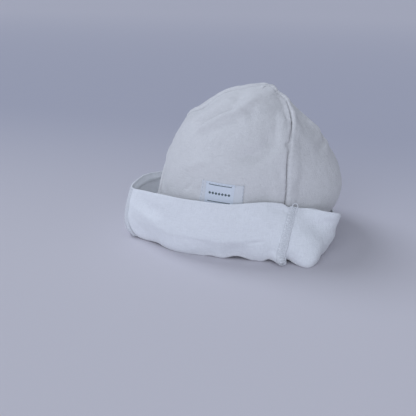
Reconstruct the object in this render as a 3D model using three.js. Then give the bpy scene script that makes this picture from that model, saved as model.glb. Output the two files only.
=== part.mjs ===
// A soft sauna hat of white linen, standing on its turned-up cuff. Millimetres, +Z up.
//
// Four gores meet at the tip. Each one runs down the crown, turns outward round the bottom
// fold and comes up again as its quarter of the cuff, so that the cloth's wrong side shows on
// the cuff. On the wrong side a flat overlocked seam allowance lies along each seam. A small
// label is sewn to the front gore, just above the cuff's rim.
//
// A point of the cloth has two coordinates: an angle round the hat (degrees, 0 at the front,
// 90 at the wearer's left, which is +X) and a distance along the cloth from the tip (mm).

import * as THREE from 'three';

// ---- Driving sizes -------------------------------------------------------------------------

const CLOTH = 2.0; // thickness of the cloth wall
const SEAM_GAP = 0.3; // left between two gores that are sewn together
const LAYER_GAP = 0.3; // left between the cloth and what is sewn on it
const TIP_START = 1.5; // the gores begin this far from the tip
const BASE_X = 1.1; // middle of the hat in the coordinates of the tables below
const BASE_Y = 18.5;

const ALLOWANCE = { width: 7.2, thickness: 1.0, start: 20, end_margin: 1.5 };

// The label's edges (degrees and mm of cloth) and how far its lines drop in each degree.
const LABEL = { left: -14.4, right: 13.2, top: 121.5, bottom: 142, slant: 0.07, rows: 3, columns: 6 };
const LABEL_THICKNESS = 0.5;
const LABEL_GAP = 0.4;

// On the crown the seam pulls the cloth in as a shallow groove, down to a little above the
// bottom fold. At the fold it lifts the cloth a little.
const SEAM_DIP = { depth: 1.0, half_width: 3.0, fade_in: 20, none_from: 4, full_to: -16 };
const SEAM_LIFT = { height: 2.8, half_width: 5.0, half_length: 12 };

const LINEN = { color: 0xe6e7ea, roughness: 0.92, metalness: 0.0 };
const THREAD = { color: 0xdfe1e6, roughness: 0.9, metalness: 0.0 };
const WOVEN_LABEL = { color: 0xdde3ee, roughness: 0.7, metalness: 0.0 };

// The outline at each level, from the tip down to the bottom fold and up to the cuff's rim:
// the level's height and centre, and its radius in eight directions, 45 degrees apart.
const SECTION_COLUMNS = ['height', 'centre_x', 'centre_y', 'front', 'front_right', 'right',
  'back_right', 'back', 'back_left', 'left', 'front_left'];
const SECTIONS = [
  [151.5, 27, 18, 1.2, 1.2, 1.2, 1.2, 1.2, 1.2, 1.2, 1.2],
  [149.0, 25, 18, 19, 14, 8, 8, 13, 19, 20, 18],
  [143.5, 21, 18, 36, 26, 18, 17, 26, 34, 38, 35],
  [131.0, 17, 18, 53, 43, 35, 36, 47, 55, 61, 57],
  [110.0, 14, 18, 70, 66, 61, 63, 69, 72, 73, 71],
  [85.0, 12, 18, 81, 78, 80, 83, 85, 84, 84, 83],
  [58.0, 10, 18, 85, 80, 92, 95, 91, 88, 89, 90],
  [32.0, 9, 17, 84, 80, 91, 93, 88, 88, 92, 94],
  [12.0, 6, 15, 82.5, 84, 84, 86, 86, 90, 96, 95],
  [3.5, 3, 13, 79, 84, 88, 89, 88, 94, 99, 97],
  [-0.5, 1, 12, 83, 88, 92, 93, 92, 97, 101, 100],
  [3.5, 0, 12, 84.5, 91, 96, 97, 96, 100, 102, 102],
  [12.0, 0, 12, 87.5, 94, 98, 100, 101, 102, 105, 103.5],
  [34.0, 0, 12, 91, 94, 101, 102, 105, 104, 109, 104],
  [57.0, 0, 12, 88, 89, 100, 102, 106, 106, 109, 100],
];
const FOLD_SECTION = 10; // the lowest one
const FIRST_RADIUS = SECTION_COLUMNS.indexOf('front');
const DIRECTIONS = SECTION_COLUMNS.length - FIRST_RADIUS;

// How far up the cuff reaches in the same eight directions, as a share of the section heights.
const CUFF_REACH = [1.02, 0.99, 0.37, 0.35, 0.57, 0.72, 0.81, 0.95];
// Where it reaches only this far, all of the cuff is drawn down, or mostly its rim.
const CUFF_DRAWN = { all: 0.25, rim: 0.85 };

// The direction of each seam (degrees) at a distance along the cloth.
const SEAM_NAMES = ['front_right', 'back_right', 'back_left', 'front_left'];
const SEAM_COURSES = [
  // along, front_right, back_right, back_left, front_left
  [0, 40, 135, 225, 315],
  [15, 54, 135, 225, 303],
  [33, 66, 136, 225, 288],
  [55, 60, 137, 226, 281],
  [82, 45, 138, 227, 279],
  [111, 41, 138, 228, 284],
  [130, 41.5, 138, 228, 298],
  [150, 41.5, 138, 228, 306],
  [197, 41.5, 138, 228, 305],
  [212, 42, 138, 228, 303],
  [233, 45.5, 138, 228, 301],
  [256, 52, 138, 228, 300],
];
const GORES = [
  // spans: of the grid across the gore; crowding: above 1 they are closer near its first seam
  { name: 'front', spans: 12, crowding: 1.0 },
  { name: 'right', spans: 11, crowding: 1.5 },
  { name: 'back', spans: 5, crowding: 1.0 },
  { name: 'left', spans: 6, crowding: 1.0 },
];

// Places where the outline is pushed outward and upward, with soft edges.
const PUSHES = [
  // angle, along, half_angle, half_along, out, up
  [-72, 50, 24, 15, -4, -6.5], // the crown is lower on its upper left
  [97, 70, 14, 8, -1.8, 0], // hollow above the right gore's folds
  [88, 168, 26, 15, -3.0, 0], // the crown draws in behind the low part of the cuff
  [-60, 205, 11, 34, 13, 0], // corner of the cuff at the front left seam
  [-75, 232, 10, 12, -1.5, 0],
  [-63, 254, 12, 26, 5, -2.5], // the same corner at the rim
  [57, 202, 14, 30, 25, 0], // corner of the cuff at the front right
  [51, 196, 4.5, 12, 6, 0],
  [62, 206, 6, 12, -3.5, 2.8],
  [64, 186, 12, 9, -2.5, 0], // the bottom fold stays open there
  [76, 219, 9, 22, 7.7, 0], // its outer side
  [72, 258, 9, 23, 20.5, 9], // the ear that stands out at the rim
  [60, 258, 8, 20, -1, 0], // hollow before the ear
  [40.5, 200, 2.8, 6, 7.5, 0], // the seam allowance's roll under the fold
  [46.3, 198, 2.4, 14, -6, 4.5], // pinch beside it
  [-22, 197, 22, 10, -3.4, 0], // the front turns under toward the bottom fold
  [-40, 204, 11, 15, -2, 3.2], // places where the bottom fold lifts off the ground
  [0, 204, 8, 15, -1, 2.5],
  [18, 204, 8, 15, -2, 5.5],
  [37, 203, 3, 12, 0, 5],
  [-30, 262, 14, 28, 0, 1.3], // the rim's rises and dips
  [16, 262, 12, 28, 0, -2],
  [49, 262, 2.5, 14, 0, -2.5],
  [62, 262, 4, 16, 0, 2.5],
  [-110, 262, 13, 30, 0, -3],
];

// Soft folds, each along a curve through three points of the cloth. A height above 0 stands out
// from the crown, and on the cuff it sinks in.
const FOLDS = [
  // angle, along, angle, along, angle, along, half_width, height
  [-40, 86, -24, 63, -2, 43, 7.0, 2.6], // ridge across the front gore's upper left
  [-48, 82, -31, 58, -19, 40, 9.0, -6.0], // valley above it
  [-27, 56, -20, 36, -55, 17, 8.0, -3.5], // the same valley on to the left of the tip
  [34, 62, 24, 88, -2, 98, 8.0, -5.5], // hollow below the dome
  [74, 20, 64, 54, 48, 90, 8.0, 3.4], // the crown's shoulder along the front right seam
  [54, 68, 46, 112, 45, 178, 7.0, 2.6],
  [52, 46, 41, 76, 36, 112, 7.0, 2.4], // and the same on the seam's other side
  [39, 96, 36, 145, 37, 196, 7.0, 2.2],
  [82, 64, 98, 88, 66, 93, 5.0, 2.2], // right gore: ridges and valleys
  [112, 84, 97, 92, 64, 98, 4.0, -3.2],
  [108, 92, 96, 98, 76, 101, 4.5, 1.8],
  [124, 98, 108, 105, 90, 112, 5.0, -1.6],
  [-62, 230, -8, 222, 45, 225, 6.0, -1.6], // where the cuff begins to turn under
  [-57, 247, -40, 242, -20, 238, 6.0, 1.2], // crease from the cuff's left corner
  [-57, 237, -40, 231, -22, 228, 4.5, -1.0],
  [56, 232, 64, 239, 75, 244, 5.0, 1.4], // hollow below the ear
  [-60, 250, -92, 246, -132, 247, 4.0, 3.0], // the far rim curls outward above this
];
const FOLD_STEPS = 12;
const FOLD_END = 0.35; // share of a fold's length over which each end fades

// The grid of each gore: rows along the cloth and columns across it.
const ROWS = { crown_step: 7.6, fold_step: 2.6, fold_half: 14.3, cuff_rows: 7, least_step: 1 };
const SEAM_MARGIN = { width: ALLOWANCE.width / 2, widest_share: 0.3 }; // first column from a seam
const SLOPE_STEP = 0.5; // mm along and degrees round, for slopes

// ---- Curves --------------------------------------------------------------------------------

function meanRadius(section) {
  return section.slice(FIRST_RADIUS).reduce((sum, radius) => sum + radius, 0) / DIRECTIONS;
}

// Distance along the cloth of each section, on the mean outline.
function sectionDistances() {
  const mean = SECTIONS.map(meanRadius);
  const distances = [0];
  for (let i = 1; i < SECTIONS.length; i += 1) {
    const step = Math.hypot(mean[i] - mean[i - 1], SECTIONS[i][0] - SECTIONS[i - 1][0]);
    distances.push(distances[i - 1] + step);
  }
  return distances;
}

const DISTANCES = sectionDistances();
const FOLD_AT = DISTANCES[FOLD_SECTION];
const RIM_AT = DISTANCES[DISTANCES.length - 1];

// Cubic curve from value a to value b with end slopes, at the share f of the way.
function cubic(a, b, slopeA, slopeB, f) {
  const f2 = f * f;
  const f3 = f2 * f;
  return (2 * f3 - 3 * f2 + 1) * a + (f3 - 2 * f2 + f) * slopeA
    + (3 * f2 - 2 * f3) * b + (f3 - f2) * slopeB;
}

// Smooth curve through the rows of a table, one value for each column.
function alongTable(knots, rows, at) {
  const x = Math.min(Math.max(at, knots[0]), knots[knots.length - 1]);
  let i = 0;
  while (i < knots.length - 2 && x >= knots[i + 1]) i += 1;
  const span = knots[i + 1] - knots[i];
  const secant = (k, column) => (rows[k + 1][column] - rows[k][column]) / (knots[k + 1] - knots[k]);
  const slope = (k, column) => {
    if (k === 0) return secant(0, column);
    if (k === knots.length - 1) return secant(k - 1, column);
    const before = knots[k] - knots[k - 1];
    const after = knots[k + 1] - knots[k];
    return (secant(k - 1, column) * after + secant(k, column) * before) / (before + after);
  };
  return rows[0].map((_, column) => cubic(rows[i][column], rows[i + 1][column],
    slope(i, column) * span, slope(i + 1, column) * span, (x - knots[i]) / span));
}

// Smooth closed curve through values that stand at equal angles round the hat.
function roundHat(values, angle) {
  const count = values.length;
  const x = (((angle % 360) + 360) % 360) / 360 * count;
  const i = Math.floor(x);
  const value = (k) => values[(i + k + count) % count];
  return cubic(value(0), value(1), (value(1) - value(-1)) / 2, (value(2) - value(0)) / 2, x - i);
}

function turnFrom(angle, other) {
  return ((((angle - other + 180) % 360) + 360) % 360) - 180;
}

function bell(x) {
  return Math.exp(-x * x);
}

// 0 at low, 1 at high, smooth between.
function ramp(low, high, x) {
  const t = THREE.MathUtils.clamp((x - low) / (high - low), 0, 1);
  return t * t * (3 - 2 * t);
}

// ---- The cloth's middle surface ------------------------------------------------------------

function seamAngles(along) {
  return alongTable(SEAM_COURSES.map((row) => row[0]), SEAM_COURSES, along).slice(1);
}

// Millimetres of cloth in one degree round the hat, on the mean outline.
function degreeAt(along) {
  return THREE.MathUtils.degToRad(meanRadius(alongTable(DISTANCES, SECTIONS, along)));
}

// The outline with its pushes, without folds and seams.
function outline(angle, along) {
  const section = alongTable(DISTANCES, SECTIONS, along);
  let radius = roundHat(section.slice(FIRST_RADIUS), angle);
  let up = 0;
  for (const [atAngle, atAlong, halfAngle, halfAlong, out, rise] of PUSHES) {
    const share = bell(turnFrom(angle, atAngle) / halfAngle) * bell((along - atAlong) / halfAlong);
    radius += out * share;
    up += rise * share;
  }
  const onCuff = Math.max(0, (along - FOLD_AT) / (RIM_AT - FOLD_AT));
  const reach = roundHat(CUFF_REACH, angle);
  const drawn = onCuff ** ramp(CUFF_DRAWN.all, CUFF_DRAWN.rim, reach);
  const turn = THREE.MathUtils.degToRad(angle);
  return new THREE.Vector3(section[1] + radius * Math.sin(turn),
    section[2] - radius * Math.cos(turn), section[0] * (1 + (reach - 1) * drawn) + up);
}

// Direction square to a surface: outward on the crown, toward the crown on the cuff.
function squareTo(surface, angle, along) {
  const above = Math.max(along - SLOPE_STEP, 0);
  const below = Math.min(along + SLOPE_STEP, RIM_AT);
  const across = surface(angle + SLOPE_STEP, along).sub(surface(angle - SLOPE_STEP, along));
  const down = surface(angle, below).sub(surface(angle, above));
  return down.cross(across).normalize();
}

function foldHeight(fold, angle, along) {
  const [angle0, along0, angle1, along1, angle2, along2, halfWidth, height] = fold;
  const flat = (atAngle, atAlong) =>
    new THREE.Vector2(turnFrom(atAngle, angle1) * degreeAt(atAlong), atAlong - along1);
  const start = flat(angle0, along0);
  const end = flat(angle2, along2);
  const pull = start.clone().add(end).multiplyScalar(-0.5);
  const point = flat(angle, along);
  const curve = new THREE.QuadraticBezierCurve(start, pull, end);
  let nearest = Infinity;
  let share = 0;
  let from = start;
  for (let k = 0; k < FOLD_STEPS; k += 1) {
    const to = curve.getPoint((k + 1) / FOLD_STEPS);
    const step = to.clone().sub(from);
    const part = THREE.MathUtils.clamp(point.clone().sub(from).dot(step) / step.lengthSq(), 0, 1);
    const distance = point.distanceTo(from.clone().addScaledVector(step, part));
    if (distance < nearest) {
      nearest = distance;
      share = (k + part) / FOLD_STEPS;
    }
    from = to;
  }
  const ends = ramp(0, FOLD_END, share) * ramp(1, 1 - FOLD_END, share);
  return height * ends * bell(nearest / halfWidth);
}

function distanceToSeam(angle, along) {
  const turns = seamAngles(along).map((seam) => Math.abs(turnFrom(angle, seam)));
  return Math.min(...turns) * degreeAt(along);
}

// The middle of the cloth, with its folds and seams, resting on the ground at height 0.
function cloth(angle, along) {
  const seam = distanceToSeam(angle, along);
  const onCrown = ramp(FOLD_AT + SEAM_DIP.none_from, FOLD_AT + SEAM_DIP.full_to, along);
  let height = -SEAM_DIP.depth * bell(seam / SEAM_DIP.half_width)
    * Math.min(1, along / SEAM_DIP.fade_in) * onCrown;
  for (const fold of FOLDS) height += foldHeight(fold, angle, along);
  const point = outline(angle, along).addScaledVector(squareTo(outline, angle, along), height);
  point.z = Math.max(point.z, CLOTH / 2) + SEAM_LIFT.height * bell(seam / SEAM_LIFT.half_width)
    * bell((along - FOLD_AT) / SEAM_LIFT.half_length);
  return point;
}

// ---- Solids --------------------------------------------------------------------------------

// A closed wall on a grid of cloth coordinates, between two distances from the middle surface.
function wall(grid, low, high) {
  const rows = grid.length;
  const columns = grid[0].length;
  const positions = [];
  for (const level of [high, low]) {
    for (const row of grid) {
      for (const [angle, along] of row) {
        const normal = squareTo(cloth, angle, along);
        positions.push(...cloth(angle, along).addScaledVector(normal, level));
      }
    }
  }
  const top = (i, j) => i * columns + j;
  const under = (i, j) => rows * columns + i * columns + j;
  const indices = [];
  const quad = (a, b, c, d) => indices.push(a, b, c, a, c, d);
  const at = (k) => new THREE.Vector3().fromArray(positions, 3 * k);
  const span = (a, b) => at(a).distanceTo(at(b));
  for (let i = 0; i < rows - 1; i += 1) {
    for (let j = 0; j < columns - 1; j += 1) {
      if (span(top(i, j), top(i + 1, j + 1)) < span(top(i + 1, j), top(i, j + 1))) {
        quad(top(i, j), top(i + 1, j), top(i + 1, j + 1), top(i, j + 1));
        quad(under(i, j), under(i, j + 1), under(i + 1, j + 1), under(i + 1, j));
      } else {
        quad(top(i + 1, j), top(i + 1, j + 1), top(i, j + 1), top(i, j));
        quad(under(i + 1, j), under(i, j), under(i, j + 1), under(i + 1, j + 1));
      }
    }
    quad(top(i, 0), under(i, 0), under(i + 1, 0), top(i + 1, 0));
    quad(top(i, columns - 1), top(i + 1, columns - 1), under(i + 1, columns - 1), under(i, columns - 1));
  }
  for (let j = 0; j < columns - 1; j += 1) {
    quad(top(0, j), top(0, j + 1), under(0, j + 1), under(0, j));
    quad(top(rows - 1, j), under(rows - 1, j), under(rows - 1, j + 1), top(rows - 1, j + 1));
  }
  const geometry = new THREE.BufferGeometry();
  geometry.setAttribute('position', new THREE.Float32BufferAttribute(positions, 3));
  geometry.setIndex(indices);
  geometry.computeVertexNormals();
  return geometry;
}

function evenly(from, to, count) {
  return Array.from({ length: count + 1 }, (_, i) => from + (to - from) * i / count);
}

// Distances along the cloth of the grid's rows: wide on the crown, close round the fold.
function gridRows(start, end) {
  const foldTop = FOLD_AT - ROWS.fold_half;
  const foldEnd = FOLD_AT + ROWS.fold_half;
  const crown = evenly(TIP_START, foldTop, Math.round((foldTop - TIP_START) / ROWS.crown_step));
  const fold = evenly(foldTop, foldEnd, Math.round((foldEnd - foldTop) / ROWS.fold_step));
  const cuff = evenly(foldEnd, RIM_AT, ROWS.cuff_rows);
  const all = [...crown, ...fold.slice(1), ...cuff.slice(1)];
  const between = all.filter((along) =>
    along > start + ROWS.least_step && along < end - ROWS.least_step);
  return [start, ...between, end];
}

// The angles across a gore at one distance along it, from one seam to the next.
function goreAngles(gore, along) {
  const seams = seamAngles(along);
  const from = gore === 0 ? seams[seams.length - 1] - 360 : seams[gore - 1];
  const width = seams[gore] - from;
  const edge = SEAM_GAP / 2 / degreeAt(along);
  const margin = Math.min(SEAM_MARGIN.width / degreeAt(along), width * SEAM_MARGIN.widest_share);
  const { spans, crowding } = GORES[gore];
  const inner = evenly(0, 1, spans).map((share) =>
    from + margin + (width - 2 * margin) * share ** crowding);
  return [from + edge, ...inner, from + width - edge];
}

function goreGeometry(gore) {
  const grid = gridRows(TIP_START, RIM_AT).map((along) =>
    goreAngles(gore, along).map((angle) => [angle, along]));
  return wall(grid, -CLOTH / 2, CLOTH / 2);
}

function allowanceGeometry(seam) {
  const rows = gridRows(ALLOWANCE.start, RIM_AT - ALLOWANCE.end_margin);
  const grid = rows.map((along) => {
    const middle = seamAngles(along)[seam];
    const half = ALLOWANCE.width / 2 / degreeAt(along);
    return [middle - half, middle, middle + half].map((angle) => [angle, along]);
  });
  const face = -CLOTH / 2 - LAYER_GAP;
  return wall(grid, face - ALLOWANCE.thickness, face);
}

function labelGeometry() {
  const grid = evenly(LABEL.top, LABEL.bottom, LABEL.rows).map((along) =>
    evenly(LABEL.left, LABEL.right, LABEL.columns).map((angle) =>
      [angle, along + LABEL.slant * angle]));
  const face = CLOTH / 2 + LABEL_GAP;
  return wall(grid, face, face + LABEL_THICKNESS);
}

// ---- The hat -------------------------------------------------------------------------------

function piece(name, geometry, material) {
  const mesh = new THREE.Mesh(geometry, new THREE.MeshStandardMaterial(material));
  mesh.name = name;
  return mesh;
}

const hat = new THREE.Group();
GORES.forEach(({ name }, gore) => hat.add(piece(`gore_${name}`, goreGeometry(gore), LINEN)));
SEAM_NAMES.forEach((name, seam) =>
  hat.add(piece(`seam_allowance_${name}`, allowanceGeometry(seam), THREAD)));
hat.add(piece('label', labelGeometry(), WOVEN_LABEL));
hat.position.set(-BASE_X, -BASE_Y, 0);

export default hat;
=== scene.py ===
"""A soft white linen sauna hat with a turned-up cuff, standing by itself.

Every piece follows one shape, the middle of the cloth. A point of the cloth has two coordinates:
an angle round the hat (degrees, 0 at the front, 90 at +X) and a distance along the cloth from the
tip, in millimetres, down the crown, round the bottom fold and up the cuff to its rim. The right
side of the cloth shows on the crown, and the wrong side on the cuff.
"""

import math

import bpy
import numpy as np
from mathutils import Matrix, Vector, noise


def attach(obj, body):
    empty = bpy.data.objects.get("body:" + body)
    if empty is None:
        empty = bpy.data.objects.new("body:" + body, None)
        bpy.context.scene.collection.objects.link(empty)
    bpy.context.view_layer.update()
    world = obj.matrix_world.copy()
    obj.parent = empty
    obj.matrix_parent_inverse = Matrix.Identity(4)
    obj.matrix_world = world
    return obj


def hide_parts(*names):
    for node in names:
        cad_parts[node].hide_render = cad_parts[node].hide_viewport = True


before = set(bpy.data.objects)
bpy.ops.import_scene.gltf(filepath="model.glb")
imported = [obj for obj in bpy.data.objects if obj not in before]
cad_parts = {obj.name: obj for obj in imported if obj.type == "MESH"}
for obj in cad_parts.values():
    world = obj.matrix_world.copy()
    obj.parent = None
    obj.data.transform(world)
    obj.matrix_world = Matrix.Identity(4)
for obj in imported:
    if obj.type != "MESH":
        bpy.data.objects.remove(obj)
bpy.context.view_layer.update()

bl_info = {
    "name": "Sauna Hat",
    "version": (1, 0, 0),
    "blender": (4, 5, 0),
    "location": "3D View > Sidebar > Sauna Hat",
    "description": "Makes a soft linen sauna hat with its seams, stitches and label",
    "category": "Add Mesh",
}

MM = 0.001

# ---- The hat's shape, in millimetres and degrees ----

TIP_START = 0.5
BASE = np.array([1.1, 18.5, 0.0])
SEAM_GAP = 0.3

# The outline at each level, from the tip down to the bottom fold and up to the cuff's rim:
# height, centre_x, centre_y, then the radius in eight directions, 45 degrees apart:
# front, front_right, right, back_right, back, back_left, left, front_left.
SECTIONS = np.array([
    (151.5, 27, 18, 1.2, 1.2, 1.2, 1.2, 1.2, 1.2, 1.2, 1.2),
    (149.0, 25, 18, 19, 14, 8, 8, 13, 19, 20, 18),
    (143.5, 21, 18, 36, 26, 18, 17, 26, 34, 38, 35),
    (131.0, 17, 18, 53, 43, 35, 36, 47, 55, 61, 57),
    (110.0, 14, 18, 70, 66, 61, 63, 69, 72, 73, 71),
    (85.0, 12, 18, 81, 78, 80, 83, 85, 84, 84, 83),
    (58.0, 10, 18, 85, 80, 92, 95, 91, 88, 89, 90),
    (32.0, 9, 17, 84, 80, 91, 93, 88, 88, 92, 94),
    (12.0, 6, 15, 82.5, 84, 84, 86, 86, 90, 96, 95),
    (3.5, 3, 13, 79, 84, 88, 89, 88, 94, 99, 97),
    (-0.5, 1, 12, 83, 88, 92, 93, 92, 97, 101, 100),
    (3.5, 0, 12, 84.5, 91, 96, 97, 96, 100, 102, 102),
    (12.0, 0, 12, 87.5, 94, 98, 100, 101, 102, 105, 103.5),
    (34.0, 0, 12, 91, 94, 101, 102, 105, 104, 109, 104),
    (57.0, 0, 12, 88, 89, 100, 102, 106, 106, 109, 100),
])
FOLD_SECTION = 10  # the lowest one

# How far up the cuff reaches in the same eight directions, as a share of the heights above.
CUFF_REACH = np.array([1.02, 0.99, 0.37, 0.35, 0.57, 0.72, 0.81, 0.95])
# Where it reaches only this far, all of the cuff is drawn down, or mostly its rim.
CUFF_DRAWN = {"all": 0.25, "rim": 0.85}

# The direction of each seam at a distance along the cloth:
# along, front_right, back_right, back_left, front_left.
SEAM_NAMES = ("front_right", "back_right", "back_left", "front_left")
SEAM_COURSES = np.array([
    (0, 40, 135, 225, 315),
    (15, 54, 135, 225, 303),
    (33, 66, 136, 225, 288),
    (55, 60, 137, 226, 281),
    (82, 45, 138, 227, 279),
    (111, 41, 138, 228, 284),
    (130, 41.5, 138, 228, 298),
    (150, 41.5, 138, 228, 306),
    (197, 41.5, 138, 228, 305),
    (212, 42, 138, 228, 303),
    (233, 45.5, 138, 228, 301),
    (256, 52, 138, 228, 300),
], float)
GORE_NAMES = ("front", "right", "back", "left")

# Places where the outline is pushed: angle, along, half_angle, half_along, out, up.
PUSHES = (
    (-72, 50, 24, 15, -4, -6.5),  # the crown is lower on its upper left
    (97, 70, 14, 8, -1.8, 0),  # hollow above the right gore's folds
    (88, 168, 26, 15, -3.0, 0),  # the crown draws in behind the low part of the cuff
    (-60, 205, 11, 34, 13, 0),  # corner of the cuff at the front left seam
    (-75, 232, 10, 12, -1.5, 0),  # hollow beside it
    (-63, 254, 12, 26, 5, -2.5),  # the same corner at the rim
    (57, 202, 14, 30, 25, 0),  # corner of the cuff at the front right
    (51, 196, 4.5, 12, 6, 0),  # the front of that corner
    (62, 206, 6, 12, -3.5, 2.8),  # its underside lifts off the ground
    (64, 186, 12, 9, -2.5, 0),  # the crown draws in behind it
    (76, 219, 9, 22, 7.7, 0),  # the corner's right side
    (72, 258, 9, 23, 20.5, 9),  # the ear that stands out at the rim
    (60, 258, 8, 20, -1, 0),  # hollow before the ear
    (40.5, 200, 2.8, 6, 7.5, 0),  # the seam allowance's roll under the fold
    (46.3, 198, 2.4, 14, -6, 4.5),  # pinch beside it
    (-22, 197, 22, 10, -3.4, 0),  # the front turns under toward the bottom fold
    (-40, 204, 11, 15, -2, 3.2),  # places where the bottom fold lifts off the ground
    (0, 204, 8, 15, -1, 2.5),
    (18, 204, 8, 15, -2, 5.5),
    (37, 203, 3, 12, 0, 5),
    (-30, 262, 14, 28, 0, 1.3),  # the rim's rises and dips
    (16, 262, 12, 28, 0, -2),
    (49, 262, 2.5, 14, 0, -2.5),
    (62, 262, 4, 16, 0, 2.5),
    (-110, 262, 13, 30, 0, -3),
)

# Folds, each along a curve through three points of the cloth:
# angle, along, angle, along, angle, along, half_width, height.
# A height above 0 stands out from the crown, and on the cuff it sinks in.
FOLDS = (
    (-40, 86, -24, 63, -2, 43, 5.5, 3.6),  # ridge across the front gore's upper left
    (-50, 79, -33, 54, -18, 34, 7.0, -8.0),  # valley above it
    (-27, 56, -20, 36, -55, 17, 5.0, -4.5),  # the same valley on to the left of the tip
    (-14, 54, 0, 38, -2, 18, 4.0, 2.0),  # and the ridge on to the tip
    (-22, 78, -8, 64, 5, 58, 4.0, -1.0),  # faint valley beneath the ridge
    (0, 38, 9, 50, 16, 61, 4.5, -1.6),
    (34, 62, 24, 88, -2, 98, 8.0, -5.5),  # hollow below the dome
    (74, 20, 64, 54, 48, 90, 8.0, 3.4),  # the crown's shoulder along the front right seam
    (54, 68, 46, 112, 45, 178, 7.0, 2.6),
    (52, 46, 41, 76, 36, 112, 7.0, 2.4),  # and the same on the seam's other side
    (39, 96, 36, 145, 37, 196, 7.0, 2.2),
    (82, 64, 98, 88, 66, 93, 5.0, 2.2),  # right gore: ridges and valleys
    (112, 84, 97, 92, 64, 98, 4.0, -3.2),
    (108, 92, 96, 98, 76, 101, 4.5, 1.8),
    (124, 98, 108, 105, 90, 112, 5.0, -1.6),
    (-62, 230, -8, 222, 45, 225, 6.0, -1.6),  # where the cuff begins to turn under
    (-57, 247, -40, 242, -20, 238, 6.0, 1.2),  # crease from the cuff's left corner
    (-57, 237, -40, 231, -22, 228, 4.5, -1.0),
    (34, 253, 42, 250.5, 50, 250, 2.5, 1.2),
    (56, 232, 64, 239, 75, 244, 5.0, 1.4),  # hollow below the ear
    (56, 251, 60, 254, 66, 257, 2.5, 1.0),
    (-60, 250, -92, 246, -132, 247, 4.0, 3.0),  # the far rim curls outward above this
)

# Small creases in the same columns.
CREASES = (
    (40, 52, 34, 75, 33, 97, 1.6, -0.5),
    (22, 219.5, 29, 220.5, 36, 224.5, 1.6, 1.1),
    (-26, 217, -12, 219, 2, 216, 1.8, 0.7),
    (-27, 136, -24, 130, -20, 124, 2.5, -0.8),
    (-36, 118, -22, 108, -7, 102, 4.0, 0.7),
    (46, 62, 60, 68, 72, 66, 1.4, -0.35),
    (45, 92, 58, 97, 70, 95, 1.6, -0.4),
    (-50, 168, -30, 160, -8, 164, 3.0, -0.5),
)

# Dents: angle, along, half_width, half_length, depth.
DENTS = (
    (43.0, 86, 2.6, 2.6, 3.6),  # pucker at the front right seam
    (50, 60, 1.6, 2.5, 1.4),  # kink in its ridge
)
FOLD_STEPS = 12
FOLD_END = 0.35  # share of a fold's length over which each end fades

# Crumples of washed linen: their size in mm, and their share of the crumple height.
CRUMPLES = ((26.0, 1.0), (12.0, 0.6), (5.5, 0.28))
# Puckers along a crown seam. Their height is a mean and an uneven share of it.
PUCKER = {"length": 6.5, "height": 0.4, "half_width": 6.0, "size": 21.0, "mean": 0.6,
          "uneven": 1.2, "wander": 5.0}
# A crown seam wanders by so much, and its rolled ridge lies beside the groove. The ridge is
# wider and higher above a distance along the cloth. Sizes are those of the unevenness.
WANDER = {"size": 24.0, "height": 0.9}
RIDGE = {"at": 3.2, "half_width": 2.3, "at_top": 0.9, "wider_at_top": 1.1,
         "higher_at_top": 0.6, "top_starts": 80, "top_full": 58, "size": 15.0, "mean": 0.9,
         "uneven": 0.7}
# Where the allowance beneath shows through: across, half_width, height.
PRESSED = ((-2.6, 1.7, 0.45), (-7.5, 2.8, -0.5))

# Full up to one place and gone from another, both in mm past the bottom fold.
SEAM_DIP = {"depth": 1.0, "half_width": 3.0, "fade_in": 20.0, "full": -16, "gone": 4}
SEAM_RELIEF = {"fade_in": 14, "full": -26, "gone": -8}
SEAM_LIFT = {"height": 2.8, "half_width": 5.0, "half_length": 12.0}
ALLOWANCE = {"width": 7.2, "thickness": 0.8, "start": 20.0, "end_margin": 1.0, "gap": 0.15,
             "edge_thinner": 0.35, "drawn": 0.07, "row_step": 0.8, "columns": 11}
OVERLOCK = {"past_edge": 0.2, "lowest": 0.5, "rise": 0.0009, "tail_radius": 0.42}
LABEL = {"left": -14.4, "right": 13.2, "panel_left": -11.2, "panel_right": 7.3,
         "top": 121.5, "bottom": 142.0, "slant": 0.07, "gap": 0.25, "thickness": 0.45,
         "row_step": 0.7, "columns": 61, "stitches_inset": 2}

# ---- Curves ----


def section_distances():
    """Distance along the cloth of each section, on the mean outline."""
    mean = SECTIONS[:, 3:].mean(1)
    steps = np.hypot(np.diff(mean), np.diff(SECTIONS[:, 0]))
    return np.concatenate([[0.0], np.cumsum(steps)])


DISTANCES = section_distances()
FOLD_AT = float(DISTANCES[FOLD_SECTION])
RIM_AT = float(DISTANCES[-1])


def cubic(a, b, slope_a, slope_b, f):
    """Cubic curve from a to b with end slopes, at the share f of the way."""
    return ((2 * f**3 - 3 * f**2 + 1) * a + (f**3 - 2 * f**2 + f) * slope_a
            + (3 * f**2 - 2 * f**3) * b + (f**3 - f**2) * slope_b)


def along_table(knots, rows, at):
    """Smooth curve through the rows of a table, one value for each column."""
    step = np.diff(knots)[:, None]
    secant = np.diff(rows, axis=0) / step
    inner = (secant[:-1] * step[1:] + secant[1:] * step[:-1]) / (step[:-1] + step[1:])
    slope = np.vstack([secant[:1], inner, secant[-1:]])
    at = np.clip(at, knots[0], knots[-1])
    i = np.clip(np.searchsorted(knots, at, side="right") - 1, 0, len(knots) - 2)
    span = (knots[i + 1] - knots[i])[..., None]
    share = (at - knots[i])[..., None] / span
    return cubic(rows[i], rows[i + 1], slope[i] * span, slope[i + 1] * span, share)


def round_hat(values, angle):
    """Smooth closed curve through values at equal angles round the hat, in the last axis."""
    count = values.shape[-1]
    x = np.mod(angle, 360) / 360 * count
    i = np.floor(x).astype(int)

    def value(k):
        return np.take_along_axis(values, ((i + k) % count)[..., None], -1)[..., 0]

    return cubic(value(0), value(1), (value(1) - value(-1)) / 2, (value(2) - value(0)) / 2, x - i)


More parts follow.
